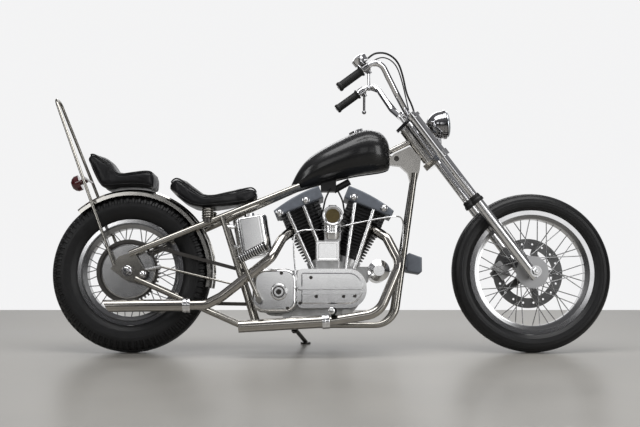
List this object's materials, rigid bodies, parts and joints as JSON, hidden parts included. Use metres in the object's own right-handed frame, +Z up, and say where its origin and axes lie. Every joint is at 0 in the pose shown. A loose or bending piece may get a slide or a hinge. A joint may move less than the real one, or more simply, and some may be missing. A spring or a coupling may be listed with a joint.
{
  "type": "chopper motorcycle",
  "caption": "Chopper motorcycle with a rigid tube frame, raked fork, tall handlebar, air-cooled V-twin engine, solo saddle and sissy bar, parked on its side stand.",
  "frame": {"origin": "on the floor, under the middle of the parked machine's box", "axes": "+X forward, +Y to the machine's left, +Z up; the machine leans to its left"},
  "size_m": [2.3053, 0.5722, 1.226],
  "materials": {
    "rubber_black": "matt black rubber",
    "chrome": "bright chrome",
    "nickel": "satin nickel plate",
    "cast_grey": "cast, matt grey",
    "aluminium": "polished cast aluminium",
    "black_fins": "satin black paint",
    "blue_grey": "dark blue-grey paint",
    "tank_black": "gloss black paint",
    "leather": "black leather",
    "soft_rubber": "black rubber",
    "dark_steel": "oiled dark steel",
    "lamp_red": "dark red lens"
  },
  "bodies": {
    "frame": {"neck": "cast_grey", "backbone": "nickel", "axle_plates": "nickel", "upper_stays": "nickel", "rails": "nickel", "downtubes": "nickel", "lower_stays": "nickel", "seat_posts": "black_fins", "rear_axle": "chrome", "brake_plate": "cast_grey", "brake_rod": "nickel", "sissy_bar": "nickel", "fender": "nickel", "tail_lamp": "lamp_red", "solo_seat": "leather", "passenger_seat": "leather", "seat_mounts": "dark_steel", "fuel_tank": "tank_black", "tank_cap": "chrome", "crankcase": "aluminium", "rear_cylinder": "black_fins", "front_cylinder": "black_fins", "rocker_boxes": "blue_grey", "cam_cover": "aluminium", "sprocket_cover": "aluminium", "primary_cover": "aluminium", "tappet_block": "aluminium", "pushrods": "chrome", "carburettor": "aluminium", "generator": "chrome", "exhaust_pipes": "nickel", "mufflers": "nickel", "oil_tank": "aluminium", "kick_starter": "nickel", "regulator": "blue_grey", "ignition_coil": "black_fins", "foot_pegs": "nickel", "drive_sprocket": "dark_steel", "drive_chain": "dark_steel", "stand_bracket": "nickel"},
    "steering": {"lower_tree": "chrome", "upper_tree": "chrome", "fork_tubes": "chrome", "fork_legs": "aluminium", "fork_boots": "soft_rubber", "front_axle": "chrome", "caliper": "cast_grey", "handlebar": "chrome", "grips": "soft_rubber", "brake_lever": "chrome", "clutch_lever": "chrome", "brake_hose": "soft_rubber", "headlamp": "chrome"},
    "front_wheel": {"front_tyre": "rubber_black", "front_wheel": "chrome", "front_rotor": "cast_grey"},
    "rear_wheel": {"rear_tyre": "rubber_black", "rear_wheel": "chrome", "rear_sprocket": "dark_steel"},
    "side_stand": {"side_stand": "nickel"}
  },
  "joints": [
    {"name": "steer", "type": "hinge", "parent": "frame", "child": "steering", "pos_m": [0.35758, 0.02495, 0.84992], "axis": [-0.5948, 0.0875, 0.7991], "range_deg": [-32, 32]},
    {"name": "front_wheel_spin", "type": "hinge", "parent": "steering", "child": "front_wheel", "pos_m": [0.82576, -0.0325, 0.32542], "axis": [0, 0.9941, -0.1089], "continuous": true},
    {"name": "rear_wheel_spin", "type": "hinge", "parent": "frame", "child": "rear_wheel", "pos_m": [-0.81942, -0.03248, 0.32552], "axis": [0, 0.9941, -0.1089], "continuous": true},
    {"name": "stand_fold", "type": "hinge", "parent": "frame", "child": "side_stand", "pos_m": [-0.15141, 0.08159, 0.08118], "axis": [0.05, 0.4973, 0.8661], "range_deg": [0, 95]}
  ]
}
